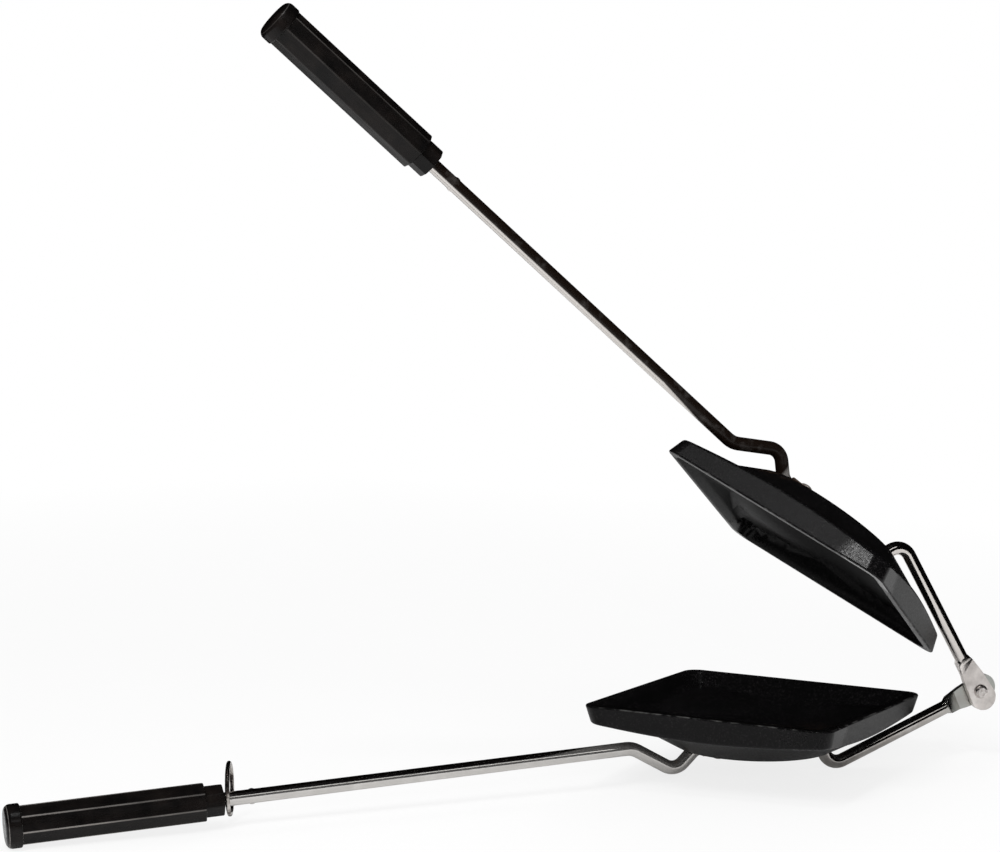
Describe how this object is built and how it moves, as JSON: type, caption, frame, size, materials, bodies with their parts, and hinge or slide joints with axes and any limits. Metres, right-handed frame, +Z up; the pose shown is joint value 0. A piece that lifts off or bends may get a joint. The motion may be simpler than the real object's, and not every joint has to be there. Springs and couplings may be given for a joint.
{
  "type": "pie iron",
  "caption": "Hinged cooking iron with two square dished pans set corner-on, long bent rods, faceted grips and a loose hanging ring, shown open.",
  "frame": {"origin": "bottom centre of the bounding box of the open iron, on the surface that it stands on", "axes": "+X along the iron from the grips to the hinge, +Z up, +Y to the far side as seen with the grips on the left"},
  "size_m": [0.4686, 0.1642, 0.3575],
  "materials": {
    "nonstick": "cast, black non-stick coating",
    "rod_chrome": "bright chromed steel bar",
    "strap_steel": "pressed steel strap",
    "screw_steel": "zinc-plated steel",
    "grip_plastic": "glossy black moulded phenolic",
    "rivet_steel": "nickel-plated steel",
    "ring_steel": "plated steel wire"
  },
  "bodies": {
    "lower_half": {"lower_pan": "nonstick", "lower_rod": "rod_chrome", "lower_front_saddle": "strap_steel", "lower_rear_saddle": "strap_steel", "lower_front_saddle_screws": "screw_steel", "lower_rear_saddle_screws": "screw_steel", "lower_grip": "grip_plastic", "lower_grip_cap": "grip_plastic", "lower_grip_washer": "screw_steel", "lower_grip_nut": "screw_steel", "hinge_rivet": "rivet_steel", "hinge_spacer": "rivet_steel", "rivet_tail_washer": "rivet_steel"},
    "upper_half": {"upper_pan": "nonstick", "upper_rod": "rod_chrome", "upper_front_saddle": "strap_steel", "upper_rear_saddle": "strap_steel", "upper_front_saddle_screws": "screw_steel", "upper_rear_saddle_screws": "screw_steel", "upper_grip": "grip_plastic", "upper_grip_cap": "grip_plastic", "upper_grip_washer": "screw_steel", "upper_grip_nut": "screw_steel"},
    "ring": {"hanging_ring": "ring_steel"}
  },
  "joints": [
    {"name": "pan_hinge", "type": "hinge", "parent": "lower_half", "child": "upper_half", "pos_m": [0.22505, 0, 0.03088], "axis": [0, 1, 0], "range_deg": [-36, 144]},
    {"name": "ring_slide", "type": "slide", "parent": "lower_half", "child": "ring", "axis": [0.9995, 0, 0.0314], "range_m": [0, 0.164]}
  ]
}
